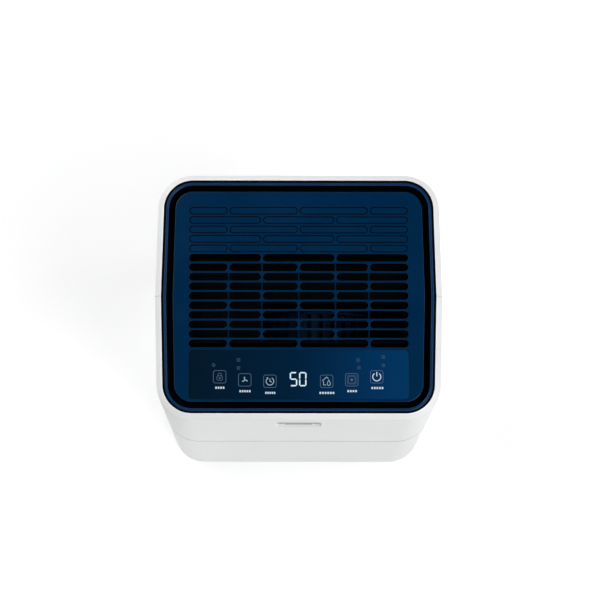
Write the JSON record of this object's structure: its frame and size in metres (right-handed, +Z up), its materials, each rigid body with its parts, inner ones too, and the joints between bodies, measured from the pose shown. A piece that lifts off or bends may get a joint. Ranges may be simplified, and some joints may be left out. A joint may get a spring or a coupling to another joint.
{
  "type": "portable dehumidifier",
  "caption": "Floor-standing room dehumidifier: white case with rolled rim, dark blue slotted top outlet and touch strip, pull-out front tank, tilt-out rear filter and castors.",
  "frame": {"origin": "on the floor, at the middle of the footprint", "axes": "+Z up, -Y out of the front where the tank pulls out, +X to the right as seen from the front"},
  "size_m": [0.35, 0.302, 0.53],
  "materials": {
    "white_plastic": "moulded white ABS, satin",
    "navy_plastic": "dark blue, gloss",
    "black_plastic": "moulded black, matt",
    "smoke_plastic": "translucent grey tank plastic",
    "dark_metal": "black stove enamel",
    "steel": "zinc-plated sheet",
    "aluminium": "mill finish",
    "copper": "drawn copper tube",
    "rubber": "black rubber",
    "circuit_green": "circuit board with solder mask",
    "filter_fabric": "woven filter gauze"
  },
  "bodies": {
    "housing": {"front_shell": "white_plastic", "rear_shell": "white_plastic", "base_tray": "white_plastic", "side_grip_left": "white_plastic", "side_grip_right": "white_plastic", "humidity_sensor": "white_plastic", "level_switch": "white_plastic", "trim_ring": "navy_plastic", "outlet_grille": "navy_plastic", "control_overlay": "navy_plastic", "outlet_guard": "navy_plastic", "display_module": "black_plastic", "top_deck": "black_plastic", "outlet_plenum": "black_plastic", "blower_scroll": "black_plastic", "drip_tray": "black_plastic", "electrical_box": "black_plastic", "drain_socket": "black_plastic", "fan_motor": "dark_metal", "compressor": "dark_metal", "chassis_deck": "steel", "tank_bay_wall": "steel", "casing_screw_1": "steel", "casing_screw_2": "steel", "casing_screw_3": "steel", "casing_screw_4": "steel", "evaporator_coil": "aluminium", "condenser_coil": "aluminium", "run_capacitor": "aluminium", "filter_drier": "copper", "suction_line": "copper", "discharge_line": "copper", "liquid_line": "copper", "cord_gland": "rubber", "compressor_grommet_1": "rubber", "compressor_grommet_2": "rubber", "compressor_grommet_3": "rubber", "control_board": "circuit_green"},
    "tank": {"tank_front": "white_plastic", "tank_bucket": "smoke_plastic", "tank_lid": "smoke_plastic"},
    "handle": {"tank_handle": "black_plastic"},
    "float": {"tank_float": "black_plastic"},
    "fan": {"fan_wheel": "black_plastic", "fan_shaft": "steel", "fan_nut": "steel"},
    "intake": {"rear_grille": "white_plastic", "filter_frame": "black_plastic", "filter_mesh": "filter_fabric"},
    "drain_plug": {"drain_plug": "rubber"},
    "castor_1": {"castor_fork_1": "steel"},
    "wheel_1": {"castor_wheel_1": "black_plastic"},
    "castor_2": {"castor_fork_2": "steel"},
    "wheel_2": {"castor_wheel_2": "black_plastic"},
    "castor_3": {"castor_fork_3": "steel"},
    "wheel_3": {"castor_wheel_3": "black_plastic"},
    "castor_4": {"castor_fork_4": "steel"},
    "wheel_4": {"castor_wheel_4": "black_plastic"}
  },
  "joints": [
    {"name": "tank_slide", "type": "slide", "parent": "housing", "child": "tank", "axis": [0, -1, 0], "range_m": [0, 0.2]},
    {"name": "handle_hinge", "type": "hinge", "parent": "tank", "child": "handle", "pos_m": [0, -0.092, 0.281], "axis": [-1, 0, 0], "range_deg": [0, 90]},
    {"name": "float_hinge", "type": "hinge", "parent": "tank", "child": "float", "pos_m": [-0.09, -0.026, 0.26], "axis": [-1, 0, 0], "range_deg": [0, 16]},
    {"name": "fan_spin", "type": "hinge", "parent": "housing", "child": "fan", "pos_m": [0.03, -0.039, 0.38484], "axis": [0, 1, 0], "continuous": true},
    {"name": "intake_tilt", "type": "hinge", "parent": "housing", "child": "intake", "pos_m": [0, 0.1495, 0.2985], "axis": [-1, 0, 0], "range_deg": [0, 30]},
    {"name": "drain_plug_pull", "type": "slide", "parent": "housing", "child": "drain_plug", "axis": [0, 1, 0], "range_m": [0, 0.03]},
    {"name": "castor_swivel_1", "type": "hinge", "parent": "housing", "child": "castor_1", "pos_m": [-0.12, -0.105, 0.038], "axis": [0, 0, 1], "continuous": true},
    {"name": "castor_roll_1", "type": "hinge", "parent": "castor_1", "child": "wheel_1", "pos_m": [-0.12, -0.098, 0.013], "axis": [1, 0, 0], "continuous": true},
    {"name": "castor_swivel_2", "type": "hinge", "parent": "housing", "child": "castor_2", "pos_m": [0.12, -0.105, 0.038], "axis": [0, 0, 1], "continuous": true},
    {"name": "castor_roll_2", "type": "hinge", "parent": "castor_2", "child": "wheel_2", "pos_m": [0.12, -0.098, 0.013], "axis": [1, 0, 0], "continuous": true},
    {"name": "castor_swivel_3", "type": "hinge", "parent": "housing", "child": "castor_3", "pos_m": [-0.12, 0.105, 0.038], "axis": [0, 0, 1], "continuous": true},
    {"name": "castor_roll_3", "type": "hinge", "parent": "castor_3", "child": "wheel_3", "pos_m": [-0.12, 0.112, 0.013], "axis": [1, 0, 0], "continuous": true},
    {"name": "castor_swivel_4", "type": "hinge", "parent": "housing", "child": "castor_4", "pos_m": [0.12, 0.105, 0.038], "axis": [0, 0, 1], "continuous": true},
    {"name": "castor_roll_4", "type": "hinge", "parent": "castor_4", "child": "wheel_4", "pos_m": [0.12, 0.112, 0.013], "axis": [1, 0, 0], "continuous": true}
  ]
}
